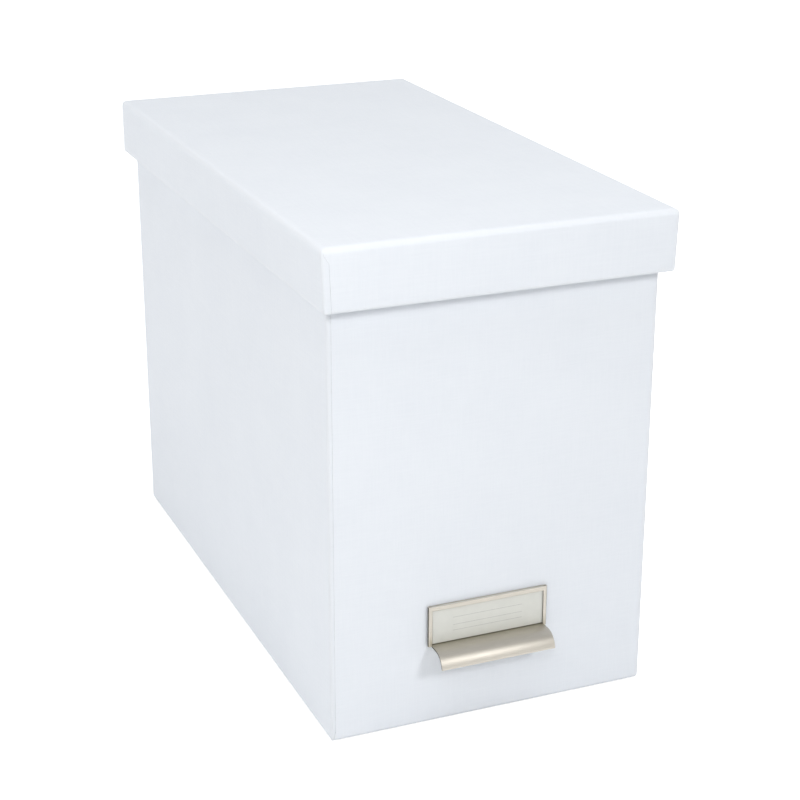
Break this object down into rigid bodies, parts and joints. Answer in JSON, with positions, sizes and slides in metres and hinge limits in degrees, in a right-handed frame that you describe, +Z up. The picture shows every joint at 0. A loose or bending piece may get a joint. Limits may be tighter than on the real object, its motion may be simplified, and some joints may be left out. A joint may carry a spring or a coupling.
{
  "type": "hanging file box",
  "caption": "Lidded file box of paper-covered board, with folded steel rails inside for hanging folders and a stamped metal label holder with a curved pull on the front.",
  "frame": {"origin": "centre of the underside of the closed box, under the base sheet", "axes": "+Z up, -Y out of the front with the label holder, +X to the right seen from the front"},
  "size_m": [0.19, 0.3629, 0.2665],
  "materials": {
    "grey_board": "matte",
    "stay_tape": "matte",
    "linen_paper": "matte, linen embossed",
    "lining_paper": "matte",
    "label_card": "matte",
    "satin_nickel": "satin nickel plate",
    "rail_steel": "zinc plate"
  },
  "bodies": {
    "box": {"body_board": "grey_board", "body_stay_front_left": "stay_tape", "body_stay_front_right": "stay_tape", "body_stay_back_left": "stay_tape", "body_stay_back_right": "stay_tape", "body_wrap": "linen_paper", "base_sheet": "lining_paper", "body_lining": "lining_paper", "floor_liner": "lining_paper", "front_rail": "rail_steel", "back_rail": "rail_steel", "front_rail_rivet_left": "rail_steel", "front_rail_rivet_right": "rail_steel", "back_rail_rivet_left": "rail_steel", "back_rail_rivet_right": "rail_steel", "label_holder": "satin_nickel"},
    "label_card": {"label_card": "label_card"},
    "lid": {"lid_board": "grey_board", "lid_stay_front_left": "stay_tape", "lid_stay_front_right": "stay_tape", "lid_stay_back_left": "stay_tape", "lid_stay_back_right": "stay_tape", "lid_wrap": "linen_paper", "lid_lining": "lining_paper"}
  },
  "joints": [
    {"name": "lid_lift", "type": "slide", "parent": "box", "child": "lid", "axis": [0, 0, 1], "range_m": [0, 0.3]},
    {"name": "label_card_slide", "type": "slide", "parent": "box", "child": "label_card", "axis": [0, 0, 1], "range_m": [0, 0.025]}
  ]
}
